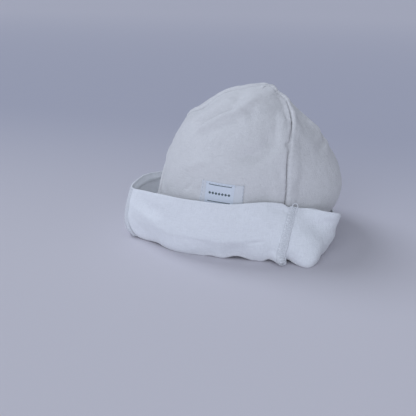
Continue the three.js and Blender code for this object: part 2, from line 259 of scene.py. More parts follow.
def turn_from(angle, other):
    return np.mod(angle - other + 180, 360) - 180


def bell(x):
    return np.exp(-x * x)


def ramp(low, high, x):
    """0 at low, 1 at high, smooth between."""
    t = np.clip((x - low) / (high - low), 0, 1)
    return t * t * (3 - 2 * t)


def unit(vectors):
    return vectors / np.maximum(np.linalg.norm(vectors, axis=-1, keepdims=True), 1e-12)


# ---- The cloth's middle surface ----


def seam_angles(along):
    return along_table(SEAM_COURSES[:, 0], SEAM_COURSES[:, 1:], along)


def mean_radius(along):
    return along_table(DISTANCES, SECTIONS[:, 3:], along).mean(-1)


def outline(angle, along):
    """The outline with its pushes, without folds and seams."""
    section = along_table(DISTANCES, SECTIONS, along)
    radius = round_hat(section[..., 3:], angle)
    up = np.zeros_like(radius)
    for at_angle, at_along, half_angle, half_along, out, rise in PUSHES:
        share = bell(turn_from(angle, at_angle) / half_angle)
        share = share * bell((along - at_along) / half_along)
        radius = radius + out * share
        up = up + rise * share
    on_cuff = np.clip((along - FOLD_AT) / (RIM_AT - FOLD_AT), 0, 1)
    reach = round_hat(np.broadcast_to(CUFF_REACH, angle.shape + CUFF_REACH.shape), angle)
    drawn = on_cuff ** ramp(CUFF_DRAWN["all"], CUFF_DRAWN["rim"], reach)
    height = section[..., 0] * (1 + (reach - 1) * drawn) + up
    turn = np.radians(angle)
    return np.stack([section[..., 1] + radius * np.sin(turn),
                     section[..., 2] - radius * np.cos(turn), height], -1)


def outline_normal(angle, along, step=0.5):
    """Square to the outline: outward on the crown, toward the crown on the cuff."""
    across = outline(angle + step, along) - outline(angle - step, along)
    below, above = np.minimum(along + step, RIM_AT), np.maximum(along - step, 0)
    return unit(np.cross(outline(angle, below) - outline(angle, above), across))


def grid_normal(points):
    """Square to a grid of points whose rows run along the cloth and columns across it."""
    return unit(np.cross(np.gradient(points, axis=0), np.gradient(points, axis=1)))


def fold_height(fold, angle, along):
    angle0, along0, angle1, along1, angle2, along2, half_width, height = fold

    def flat(at_angle, at_along):
        across = np.radians(turn_from(at_angle, angle1)) * mean_radius(np.asarray(at_along, float))
        return across, at_along - along1

    start, end = np.array(flat(angle0, along0)), np.array(flat(angle2, along2))
    pull = -0.5 * (start + end)
    x, y = flat(angle, along)
    nearest, share = np.full(x.shape, np.inf), np.zeros(x.shape)
    here = start
    for k in range(FOLD_STEPS):
        t = (k + 1) / FOLD_STEPS
        to = (1 - t) ** 2 * start + 2 * t * (1 - t) * pull + t * t * end
        step = to - here
        part = np.clip(((x - here[0]) * step[0] + (y - here[1]) * step[1]) / (step @ step), 0, 1)
        distance = np.hypot(x - here[0] - part * step[0], y - here[1] - part * step[1])
        closer = distance < nearest
        nearest = np.where(closer, distance, nearest)
        share = np.where(closer, (k + part) / FOLD_STEPS, share)
        here = to
    ends = ramp(0, FOLD_END, share) * ramp(1, 1 - FOLD_END, share)
    return height * ends * bell(nearest / half_width)


def seam_distance(angle, along):
    """Distance in mm to the nearest seam, above 0 on its side of growing angle."""
    turns = turn_from(angle[..., None], seam_angles(along))
    nearest = np.abs(turns).argmin(-1)[..., None]
    return np.radians(np.take_along_axis(turns, nearest, -1)[..., 0]) * mean_radius(along)


def middle(angle, along, cloth):
    """The middle of the cloth with its broad folds, resting on the ground at height 0."""
    seam = seam_distance(angle, along)
    height = -SEAM_DIP["depth"] * bell(seam / SEAM_DIP["half_width"])
    height = height * np.minimum(1, along / SEAM_DIP["fade_in"])
    height = height * ramp(FOLD_AT + SEAM_DIP["gone"], FOLD_AT + SEAM_DIP["full"], along)
    for fold in FOLDS:
        height = height + fold_height(fold, angle, along)
    points = outline(angle, along) + outline_normal(angle, along) * height[..., None]
    points[..., 2] = np.maximum(points[..., 2], cloth.thickness / MM / 2)
    points[..., 2] += (SEAM_LIFT["height"] * bell(seam / SEAM_LIFT["half_width"])
                       * bell((along - FOLD_AT) / SEAM_LIFT["half_length"]))
    return points - BASE


def crumple(points, size):
    """Smooth irregular height from -1 to 1 that changes over about size mm."""
    flat = points.reshape(-1, 3) / size
    return np.array([noise.noise(Vector(p)) for p in flat]).reshape(points.shape[:-1])


def relief(angle, along, points, cloth):
    """Height in mm of the seam's groove and ridges, small creases and crumples."""
    wander = crumple(points, WANDER["size"])
    mirrored = np.where(turn_from(angle, 0) < 0, -1, 1)
    seam = mirrored * seam_distance(angle, along) + WANDER["height"] * wander
    crown = ramp(FOLD_AT + SEAM_RELIEF["gone"], FOLD_AT + SEAM_RELIEF["full"], along)
    crown = crown * ramp(0, SEAM_RELIEF["fade_in"], along)
    groove = -cloth.groove_depth / MM * bell(seam / (cloth.groove_width / MM / 2))
    high = ramp(RIDGE["top_starts"], RIDGE["top_full"], along)
    half_width = RIDGE["half_width"] + RIDGE["wider_at_top"] * high
    rolled = bell((seam - RIDGE["at"] - RIDGE["at_top"] * high) / half_width)
    rolled = rolled * (1 + RIDGE["higher_at_top"] * high)
    uneven = RIDGE["mean"] + RIDGE["uneven"] * crumple(points, RIDGE["size"])
    rolled = rolled * cloth.ridge_height / MM * uneven
    pressed = sum(rise * bell((seam - across) / half) for across, half, rise in PRESSED)
    pucker = np.sin(along * (2 * np.pi / PUCKER["length"]) + PUCKER["wander"] * wander)
    gathers = PUCKER["height"] * pucker * bell(seam / PUCKER["half_width"])
    gathers = gathers * (PUCKER["mean"] + PUCKER["uneven"] * crumple(points, PUCKER["size"]))
    height = crown * (groove + rolled + pressed + gathers)
    for crease in CREASES:
        height = height + fold_height(crease, angle, along)
    for at_angle, at_along, half_width, half_length, depth in DENTS:
        across = np.radians(turn_from(angle, at_angle)) * mean_radius(along)
        share = bell(across / half_width) * bell((along - at_along) / half_length)
        height = height - depth * share
    soft = cloth.crumple_height / MM
    for size, share in CRUMPLES:
        height = height + soft * share * crumple(points, size)
    return height


def shaped_cloth(angle, along, cloth):
    """The middle of the cloth with its relief, and the way square to it."""
    points = middle(angle, along, cloth)
    normal = grid_normal(points)
    return points + normal * relief(angle, along, points, cloth)[..., None], normal


# ---- Meshes ----


def wall_faces(rows, columns):
    """Faces of a closed wall: a grid of outer points, then the same grid of inner points."""
    index = np.arange(rows * columns).reshape(rows, columns)
    a, b, c, d = index[:-1, :-1], index[1:, :-1], index[1:, 1:], index[:-1, 1:]
    outer = np.stack([a, b, c, d], -1).reshape(-1, 4)
    inner = outer[:, ::-1] + rows * columns
    edge = np.concatenate([index[:, 0], index[-1, 1:], index[-2::-1, -1], index[0, -2:0:-1]])
    following = np.roll(edge, -1)
    rim = np.stack([following, edge, edge + rows * columns, following + rows * columns], -1)
    return np.concatenate([outer, inner, rim])


def new_object(name, data):
    made = bpy.data.objects.new(name, data)
    bpy.context.scene.collection.objects.link(made)
    return made


def add_mesh(name, points, faces, material, cloth_map=None):
    """A mesh object at the origin, its points in mm, with the cloth's own map in metres."""
    mesh = bpy.data.meshes.new(name)
    mesh.from_pydata(np.asarray(points, float).reshape(-1, 3) * MM, [], faces)
    mesh.update()
    if cloth_map is not None:
        corners = np.empty(len(mesh.loops), int)
        mesh.loops.foreach_get("vertex_index", corners)
        layer = mesh.uv_layers.new(name="Cloth")
        layer.uv.foreach_set("vector", (cloth_map.reshape(-1, 2)[corners] * MM).ravel())
    mesh.shade_smooth()
    mesh.materials.append(material)
    return new_object(name, mesh)


def closed_wall(name, outer, inner, material, cloth_map):
    rows, columns = outer.shape[:2]
    return add_mesh(name, np.concatenate([outer.reshape(-1, 3), inner.reshape(-1, 3)]),
                    wall_faces(rows, columns), material,
                    np.concatenate([cloth_map.reshape(-1, 2)] * 2))


def add_tube(name, path, beside, radius, material, sides=7):
    """A round thread along a path in mm that never runs the way of beside."""
    first = unit(np.cross(np.gradient(path, axis=0), beside))
    second = unit(np.cross(np.gradient(path, axis=0), first))
    turns = (np.arange(sides) * (2 * np.pi / sides))[:, None]
    ring = first[:, None] * np.cos(turns) + second[:, None] * np.sin(turns)
    points = path[:, None] + radius * ring
    faces = []
    for row in range(len(path) - 1):
        for k in range(sides):
            a, b = row * sides + k, row * sides + (k + 1) % sides
            faces.append((a, b, b + sides, a + sides))
    last = (len(path) - 1) * sides
    faces += [tuple(range(sides))[::-1], tuple(range(last, last + sides))]
    return add_mesh(name, points, faces, material)


def finish_piece(piece, slot, *nodes):
    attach(piece, "root")
    if nodes:
        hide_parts(*nodes)
    return piece


def raise_to(level, *grids):
    """Lifts what lies below a level in mm."""
    for points in grids:
        points[..., 2] = np.maximum(points[..., 2], level)


def evenly(start, end, step):
    return np.linspace(start, end, max(2, round(abs(end - start) / step) + 1))


# The gores' grid: how far the finer rows go on each side of the bottom fold and how fine they
# are, and how far the finer columns go beside a seam and the shares of that at which they lie.
FINE_ROWS = {"reach": 15, "share": 0.7}
FINE_COLUMNS = {"reach": 5.0, "most": 0.3, "shares": (0.0, 0.1, 0.2, 0.31, 0.43, 0.57, 0.76)}
WIDEST_GORE = 150.0
ROUND_RIM = (25, 50, 72)  # degrees round the rim's edge


def gore_grid(gore, cloth):
    """Angles, distances along, and half thicknesses of one gore's grid."""
    half = cloth.thickness / MM / 2
    step = cloth.mesh_step / MM
    fold_top, fold_end = FOLD_AT - FINE_ROWS["reach"], FOLD_AT + FINE_ROWS["reach"]
    rows = np.concatenate([
        evenly(TIP_START, fold_top, step)[:-1],
        evenly(fold_top, fold_end, step * FINE_ROWS["share"])[:-1],
        evenly(fold_end, RIM_AT - half, step),
    ])
    round_edge = np.radians(ROUND_RIM)
    along = np.concatenate([rows, RIM_AT - half + half * np.sin(round_edge)])
    halves = np.concatenate([np.full(len(rows), half), half * np.cos(round_edge)])
    seams = seam_angles(along)
    start = seams[:, -1] - 360 if gore == 0 else seams[:, gore - 1]
    width = seams[:, gore] - start
    degree = np.radians(1) * mean_radius(along)
    margin = np.minimum(FINE_COLUMNS["reach"] / degree, FINE_COLUMNS["most"] * width)[:, None]
    edge = np.minimum(SEAM_GAP / 2 / degree, 0.1 * width)[:, None]
    left = edge + np.array(FINE_COLUMNS["shares"]) * (margin - edge)
    spans = round(WIDEST_GORE / step)
    inner = margin + (width[:, None] - 2 * margin) * np.linspace(0, 1, spans + 1)
    share = np.concatenate([left, inner, width[:, None] - left[:, ::-1]], 1)
    angle = start[:, None] + share
    return angle, np.broadcast_to(along[:, None], angle.shape), halves


def cloth_map(angle, along):
    """Place on the flat cloth in mm: across from the hat's front, and along from the tip."""
    centre = angle[:, angle.shape[1] // 2][:, None]
    return np.stack([np.radians(angle - centre) * mean_radius(along), along], -1)


# ---- Nodes ----


class Value:
    """A node's output, with sums and products that add Math nodes."""

    def __init__(self, net, socket):
        self.net = net
        self.socket = socket

    def maths(self, operation, *others):
        sockets = {i: other for i, other in enumerate((self, *others))}
        return self.net.node("ShaderNodeMath", {"operation": operation}, sockets)

    def __add__(self, other):
        return self.maths("ADD", other)

    def __mul__(self, other):
        return self.maths("MULTIPLY", other)

    def __sub__(self, other):
        return self.maths("SUBTRACT", other)

    __radd__ = __add__
    __rmul__ = __mul__


class Net:
    """One node tree in the making."""

    def __init__(self, tree):
        self.tree = tree

    def node(self, kind, settings=None, inputs=None, output=0):
        """Adds a node: its settings are set first, then its inputs as values or links."""
        made = self.tree.nodes.new(kind)
        for name, setting in (settings or {}).items():
            if name == "stops":
                set_stops(made.color_ramp, setting)
            else:
                setattr(made, name, setting)
        for key, value in (inputs or {}).items():
            if isinstance(value, Value):
                self.tree.links.new(value.socket, made.inputs[key])
            else:
                made.inputs[key].default_value = value
        if not made.outputs:
            return made
        return Value(self, made.outputs[output])

    def noise(self, place, scale, **more):
        return self.node("ShaderNodeTexNoise", None, {"Vector": place, "Scale": scale, **more})

    def bump(self, height):
        """height is in mm."""
        return self.node("ShaderNodeBump", None,
                         {"Strength": 1.0, "Distance": MM, "Height": height})

    def part(self, place, axis):
        return self.node("ShaderNodeSeparateXYZ", None, {0: place}, axis)

    def cloth_place(self):
        """Across and along the flat cloth, in metres."""
        place = self.node("ShaderNodeUVMap", {"uv_map": "Cloth"})
        return self.part(place, 0), self.part(place, 1)

    def mix(self, factor, a, b):
        """From colour a to colour b."""
        return self.node("ShaderNodeMix", {"data_type": "RGBA"}, {0: factor, 6: a, 7: b}, 2)


def set_stops(color_ramp, stops):
    while len(color_ramp.elements) < len(stops):
        color_ramp.elements.new(0.5)
    for element, (position, level) in zip(color_ramp.elements, stops):
        element.position = position
        element.color = (level, level, level, 1.0)


def rgba(colour):
    return (*colour, 1.0)


def new_material(name, constant, changing):
    """A Principled material. changing(net) gives the inputs that vary over the surface."""
    material = bpy.data.materials.new(name)
    material.use_nodes = True
    net = Net(material.node_tree)
    material.node_tree.nodes.clear()
    shader = net.node("ShaderNodeBsdfPrincipled", None, {**constant, **changing(net)})
    net.node("ShaderNodeOutputMaterial", None, {"Surface": shader})
    return material


def linen_material(name, cloth, light=1.0):
    """Plain-woven white linen: round threads over and under, with thick and thin places."""
    # light below 1 makes a darker copy of the linen: painted shade.
    pitch = cloth.thread_pitch

    def changing(net):
        across, along = net.cloth_place()
        body = net.node("ShaderNodeTexCoord", output=3)

        def streaks(x, y):
            stretched = net.node("ShaderNodeCombineXYZ", None, {0: x, 1: y})
            return net.node("ShaderNodeTexNoise", {"noise_dimensions": "2D"},
                            {"Vector": stretched, "Scale": 1.0, "Detail": 2.0})

        warp = streaks(across * (1 / pitch), along * (0.12 / pitch))
        weft = streaks(across * (0.12 / pitch), along * (1 / pitch))
        wave_across = (across * (math.pi / pitch)).maths("SINE")
        wave_along = (along * (math.pi / pitch)).maths("SINE")
        weave = wave_across * wave_along
        slubs = warp + weft - 1.0
        nap = net.noise(body, 620.0, Detail=2.0)
        washed = net.noise(body, 210.0, Detail=3.0)
        cloudy = net.noise(body, 28.0, Detail=2.0)
        bump = net.bump(weave * 0.06 + slubs * 0.25 + nap * 0.32 + washed * 0.4)
        # From the crown's colour to the cuff's lighter one: partly the wrong side's own whiter,
        # cooler tone and partly painted light that the cuff catches.
        wrong_side_and_painted_light = net.node("ShaderNodeMapRange", None, {
            "Value": along, "From Min": (FOLD_AT - 6) * MM, "From Max": (FOLD_AT + 8) * MM})

        def both_sides(share):
            return net.mix(wrong_side_and_painted_light, rgba([c * share for c in cloth.right_side]),
                           rgba([c * share for c in cloth.wrong_side_and_painted_light]))

        side, dull = both_sides(light), both_sides(light * cloth.dull_share)
        mottle = slubs * 0.5 + nap * 0.6 + washed * 0.5 + cloudy * 0.5 - 0.6
        return {
            "Base Color": net.mix(mottle.maths("MINIMUM", 1.0).maths("MAXIMUM", 0.0), side, dull),
            "Roughness": 0.86 + cloudy * 0.1,
            "Normal": bump,
        }

    return new_material(name, {
        "Sheen Weight": 0.2, "Sheen Roughness": 0.5, "Specular IOR Level": 0.2,
    }, changing)


def thread_material(name, colour):
    """Spun polyester thread."""

    def changing(net):
        body = net.node("ShaderNodeTexCoord", output=3)
        twist = net.noise(body, 2600.0, Detail=1.0)
        uneven = net.noise(body, 120.0)
        bump = net.bump(twist * 0.08)
        return {
            "Base Color": net.mix(uneven, rgba(colour), rgba([0.9 * c for c in colour])),
            "Roughness": 0.5 + twist * 0.2,
            "Normal": bump,
        }

    return new_material(name, {"Sheen Weight": 0.15, "Specular IOR Level": 0.4}, changing)


# The label's weave, in metres.
LABEL_WEAVE = {"satin": 0.0006, "rows": 0.0005, "line_at": 0.0078, "line_half_width": 0.00035,
               "diamond": 0.0032, "diamond_slope": 620, "diamond_least": 0.25, "margin": 0.0028}
LABEL_MIDDLE_AT = 130.0


def label_material(trim):
    """Satin-woven label: a panel between two ends, with a row of diamonds between two lines."""
    middle_line = (LABEL["top"] + LABEL["bottom"]) / 2 * MM

    def changing(net):
        across, along = net.cloth_place()
        satin = ((across + along) * (2 * math.pi / LABEL_WEAVE["satin"])).maths("SINE")
        lines = (along * (2 * math.pi / LABEL_WEAVE["rows"])).maths("SINE")
        degree = math.radians(1) * float(mean_radius(np.array(LABEL_MIDDLE_AT))) * MM
        centre = (LABEL["panel_left"] + LABEL["panel_right"]) / 2 * degree
        half = (LABEL["panel_right"] - LABEL["panel_left"]) / 2 * degree
        middle_of_label = (LABEL["left"] + LABEL["right"]) / 2 * degree
        from_centre = (across - (centre - middle_of_label)).maths("ABSOLUTE")
        panel = from_centre.maths("LESS_THAN", half)
        from_middle = (along - middle_line).maths("ABSOLUTE")
        stripe = from_middle.maths("COMPARE", LABEL_WEAVE["line_at"],
                                   LABEL_WEAVE["line_half_width"])
        row = (from_centre * (math.pi / LABEL_WEAVE["diamond"])).maths("COSINE")
        edge = from_middle * LABEL_WEAVE["diamond_slope"] + LABEL_WEAVE["diamond_least"]
        diamond = row.maths("ABSOLUTE").maths("GREATER_THAN", edge)
        inside = from_centre.maths("LESS_THAN", half - LABEL_WEAVE["margin"])
        mark = stripe.maths("MAXIMUM", diamond) * inside
        bump = net.bump(satin * 0.03 + lines * 0.03 + panel * 0.15 + mark * 0.08)
        ground = net.mix(panel, rgba(trim.label_ends), rgba(trim.label_panel))
        return {
            "Base Color": net.mix(mark, ground, rgba(trim.label_pattern)),
            "Roughness": 0.42 + satin * 0.05,
            "Normal": bump,
        }

    return new_material("satin_label", {"Sheen Weight": 0.1, "Specular IOR Level": 0.45}, changing)


# ---- Stitches ----

# Each stitch is made of short threads from one point to another. A point is a share of the
# stitch's length along the seam and a share of its half width across it.
OVERLOCK_THREADS = (
    # start_along, start_across, end_along, end_across
    (-0.50, -1.0, 0.05, 1.0),
    (0.05, 1.0, 0.50, -1.0),
    (-0.42, -0.75, 0.42, -0.75),
)
RUNNING_THREADS = ((-0.30, 0.0, 0.30, 0.0),)
# The points that bend a thread: share of the way from its start to its end, and of the rise.
THREAD_POINTS = (("Start", 0, -0.6), ("Start Handle", 0.25, 1.5),
                 ("End Handle", 0.75, 1.5), ("End", 1, -0.6))
STITCH_INPUTS = (("Path", "Geometry", None), ("Stitch Length", "Float", 0.002),
                 ("Half Width", "Float", 0.003), ("Rise", "Float", 0.0004),
                 ("Thread Radius", "Float", 0.0002), ("Seed", "Int", 7),
                 ("Thread", "Material", None))
LABEL_STITCH = {"Stitch Length": 0.0031, "Half Width": 0.0005, "Rise": 0.0002,
                "Thread Radius": 0.00015}
LABEL_THREAD_COLOUR = (0.50, 0.54, 0.61)

# The thread's end at the rim, in mm: across the seam, above the rim, and out from the cloth.
THREAD_TAIL = (
    (-2.6, -2.0, 2.4),
    (-2.2, 1.4, 2.0),
    (0.2, 3.6, 1.0),
    (2.6, 3.0, 1.2),
    (3.8, 0.4, 2.4),
    (4.0, -3.2, 1.6),
    (3.6, -7.0, 1.4),
)


def stitch_tree(name, threads):
    """Places one stitch at each step along a path whose points carry the way outward."""
    tree = bpy.data.node_groups.new(name, "GeometryNodeTree")
    tree.is_modifier = True
    for label, kind, default in STITCH_INPUTS:
        made = tree.interface.new_socket(label, in_out="INPUT", socket_type=f"NodeSocket{kind}")
        if default is not None:
            made.default_value = default
    tree.interface.new_socket("Stitches", in_out="OUTPUT", socket_type="NodeSocketGeometry")

    net = Net(tree)
    given = tree.nodes.new("NodeGroupInput")

    def size(label):
        return Value(net, given.outputs[label])

    stitches = []
    for start_along, start_across, end_along, end_across in threads:
        points = {}
        for label, share, up in THREAD_POINTS:
            along = start_along + share * (end_along - start_along)
            across = start_across + share * (end_across - start_across)
            points[label] = net.node("ShaderNodeCombineXYZ", None, {
                0: size("Stitch Length") * along, 1: size("Half Width") * across,
                2: size("Rise") * up})
        stitches.append(net.node("GeometryNodeCurvePrimitiveBezierSegment",
                                 {"mode": "POSITION"}, {"Resolution": 4, **points}))
    joined = tree.nodes.new("GeometryNodeJoinGeometry")
    for stitch in reversed(stitches):
        tree.links.new(stitch.socket, joined.inputs[0])
    round_thread = net.node("GeometryNodeCurvePrimitiveCircle", {"mode": "RADIUS"},
                            {"Resolution": 5, "Radius": size("Thread Radius")})
    thread = net.node("GeometryNodeCurveToMesh", None, {
        "Curve": Value(net, joined.outputs[0]), "Profile Curve": round_thread,
        "Fill Caps": True})

    path = net.node("GeometryNodeMeshToCurve", None, {0: size("Path")})
    steps = tree.nodes.new("GeometryNodeCurveToPoints")
    steps.mode = "LENGTH"
    tree.links.new(path.socket, steps.inputs["Curve"])
    tree.links.new(size("Stitch Length").socket, steps.inputs["Length"])
    outward = net.node("GeometryNodeInputNamedAttribute", {"data_type": "FLOAT_VECTOR"},
                       {"Name": "outward"})
    forward = net.node("FunctionNodeAlignRotationToVector", {"axis": "X"},
                       {"Vector": Value(net, steps.outputs["Tangent"])})
    turned = net.node("FunctionNodeAlignRotationToVector", {"axis": "Z", "pivot_axis": "X"},
                      {"Rotation": forward, "Vector": outward})
    uneven = net.node("FunctionNodeRandomValue", {"data_type": "FLOAT_VECTOR"}, {
        "Min": (0.94, 0.93, 0.85), "Max": (1.04, 1.05, 1.2), "Seed": size("Seed")})
    placed = net.node("GeometryNodeInstanceOnPoints", None, {
        "Points": Value(net, steps.outputs["Points"]), "Instance": thread,
        "Rotation": turned, "Scale": uneven})
    real = net.node("GeometryNodeRealizeInstances", None, {0: placed})
    smooth = net.node("GeometryNodeSetShadeSmooth", None, {0: real})
    named = net.node("GeometryNodeSetMaterial", None,
                     {"Geometry": smooth, "Material": size("Thread")})
    net.node("NodeGroupOutput", None, {0: named})
    return tree


def stitched(name, paths, threads, sizes, material):
    """A mesh of stitches along paths. A path is its points and its outward directions, in mm."""
    points = np.concatenate([path for path, _ in paths])
    outward = np.concatenate([way for _, way in paths])
    edges, first = [], 0
    for path, _ in paths:
        edges += [(first + i, first + i + 1) for i in range(len(path) - 1)]
        first += len(path)
    mesh = bpy.data.meshes.new(name)
    mesh.from_pydata((points * MM).tolist(), edges, [])
    layer = mesh.attributes.new("outward", "FLOAT_VECTOR", "POINT")
    layer.data.foreach_set("vector", outward.astype(np.float32).ravel())
    piece = new_object(name, mesh)
    modifier = piece.modifiers.new("Stitches", "NODES")
    modifier.node_group = stitch_tree(name, threads)
    inputs = {item.name: item.identifier for item in modifier.node_group.interface.items_tree
              if item.in_out == "INPUT"}
    for label, value in {**sizes, "Thread": material}.items():
        modifier[inputs[label]] = value
    bpy.context.view_layer.update()
    made = bpy.data.meshes.new_from_object(
        piece.evaluated_get(bpy.context.evaluated_depsgraph_get()))
    piece.modifiers.clear()
    piece.data = made
    made.name = name
    bpy.data.meshes.remove(mesh)
    if not made.polygons:
        raise RuntimeError(f"{name} has no stitches")
    return piece


# ---- Settings ----


def Length(name, description, default):
    return bpy.props.FloatProperty(
        name=name, description=description, default=default, unit="LENGTH")


def Turn(name, description, degrees):
    return bpy.props.FloatProperty(
        name=name, description=description, default=math.radians(degrees), subtype="ANGLE")


def Share(name, description, default):
    return bpy.props.FloatProperty(
        name=name, description=description, default=default, min=0, max=1)


def Strength(name, description, default):
    return bpy.props.FloatProperty(name=name, description=description, default=default, min=0)


def Colour(name, description, default):
    return bpy.props.FloatVectorProperty(
        name=name, description=description, default=default, subtype="COLOR", min=0, max=1)


class SaunaHatCloth(bpy.types.PropertyGroup):
    """Sizes and colours of the linen."""

    thickness: Length("Cloth thickness", "Thickness of the linen", 0.0018)
    mesh_step: Length("Mesh step", "Distance between the mesh's rows and columns", 0.0013)
    groove_depth: Length(
        "Seam groove depth", "How deep the cloth turns in at a crown seam", 0.0019)
    groove_width: Length("Seam groove width", "Width of the groove at a crown seam", 0.0017)
    ridge_height: Length(
        "Seam ridge height", "Height of the rolled ridge beside a crown seam", 0.0012)
    crumple_height: Length(
        "Crumple height", "Height of the soft unevenness of washed linen", 0.0008)
    thread_pitch: Length("Thread pitch", "Distance between two threads of the weave", 0.0009)
    right_side: Colour(
        "Right side", "Colour of the linen's right side, on the crown", (0.768, 0.760, 0.758))
    # Partly the wrong side's own whiter, cooler tone and partly painted light: the cuff is drawn
    # lighter for the light it catches.
    wrong_side_and_painted_light: Colour(
        "Wrong side and painted light", "Colour of the linen's wrong side, on the cuff", (0.91, 0.925, 0.945))
    dull_share: Share("Dull share", "How light the linen's duller places are", 0.86)


class SaunaHatTrim(bpy.types.PropertyGroup):
    """Sizes and colours of the stitches and the label."""

    overlock_length: Length(
        "Overlock stitch length", "Distance from one overlock stitch to the next", 0.0031)
    # Painted shade: the seam allowances' linen is drawn darker by this share, for the shade
    # between and under the overlock threads.
    painted_shade_share: Share(
        "Painted shade share", "How light the linen under the overlock stitches is", 0.9)
    thread_radius: Length("Thread radius", "Radius of the sewing thread", 0.0003)
    thread_colour: Colour("Thread", "Colour of the sewing thread", (0.95, 0.96, 0.98))
    label_panel: Colour("Label panel", "Colour of the label's middle panel", (0.80, 0.85, 0.92))
    label_ends: Colour("Label ends", "Colour of the label's two ends", (0.78, 0.80, 0.83))
    label_pattern: Colour(
        "Label pattern", "Colour of the woven lines and diamonds", (0.10, 0.14, 0.15))


class SaunaHatStage(bpy.types.PropertyGroup):
    """The floor, the lights and the camera."""

    floor_colour: Colour("Floor", "Colour of the floor", (0.70, 0.672, 0.705))
    backdrop_colour: Colour(
        "Backdrop", "Colour of the floor far behind the hat", (0.50, 0.50, 0.575))
    air_colour: Colour("Surroundings", "Colour of the light from all round", (0.252, 0.274, 0.318))
    light_colour: Colour("Lamps", "Colour of the soft lamps", (0.78, 0.85, 1.0))
    key_strength: Strength("Left lamp", "Strength of the soft lamp up on the left", 1.13)
    key_width: Turn("Left lamp width", "Angle that the left lamp spans in the sky", 30)
    fill_strength: Strength("Front lamp", "Strength of the wide lamp in front", 1.34)
    fill_width: Turn("Front lamp width", "Angle that the front lamp spans in the sky", 60)
    edge_strength: Strength("Right lamp", "Strength of the weak lamp on the right", 0.11)
    camera_azimuth: Turn("Camera azimuth", "How far the camera stands round to the right", 21)
    camera_elevation: Turn("Camera elevation", "How far the camera looks down", 20.8)
    camera_distance: Length(
        "Camera distance", "Distance from the camera to what it looks at", 0.64)
    camera_target: bpy.props.FloatVectorProperty(
        name="Camera target", description="Point that the camera looks at",
        default=(-0.0298, -0.0205, 0.0219), subtype="TRANSLATION")
    camera_angle: Turn("Angle of view", "Angle that the camera takes in", 38)


# ---- Operators ----


class SAUNAHAT_OT_gores(bpy.types.Operator):
    """Make the four linen gores, each from the tip to the cuff's rim"""

    bl_idname = "sauna_hat.gores"
    bl_label = "Linen gores"

    def execute(self, context):
        cloth = context.scene.sauna_hat_cloth
        material = linen_material("white_linen", cloth)
        for number, name in enumerate(GORE_NAMES):
            angle, along, halves = gore_grid(number, cloth)
            points, normal = shaped_cloth(angle, along, cloth)
            halves = halves[:, None, None]
            outer, inner = points + normal * halves, points - normal * halves
            raise_to(0, outer, inner)
            piece = closed_wall(f"{name}_gore_linen", outer, inner, material,
                                cloth_map(angle, along))
            finish_piece(piece, "linen", f"gore_{name}")
        return {"FINISHED"}


def strip_grid(seam, across):
    """Angles and distances along of a strip that lies on a seam; across is in mm."""
    end = RIM_AT - ALLOWANCE["end_margin"]
    along = evenly(ALLOWANCE["start"], end, ALLOWANCE["row_step"])
    degree = np.radians(1) * mean_radius(along)
    angle = seam_angles(along)[:, seam][:, None] + across[None, :] / degree[:, None]
    return angle, np.broadcast_to(along[:, None], angle.shape)


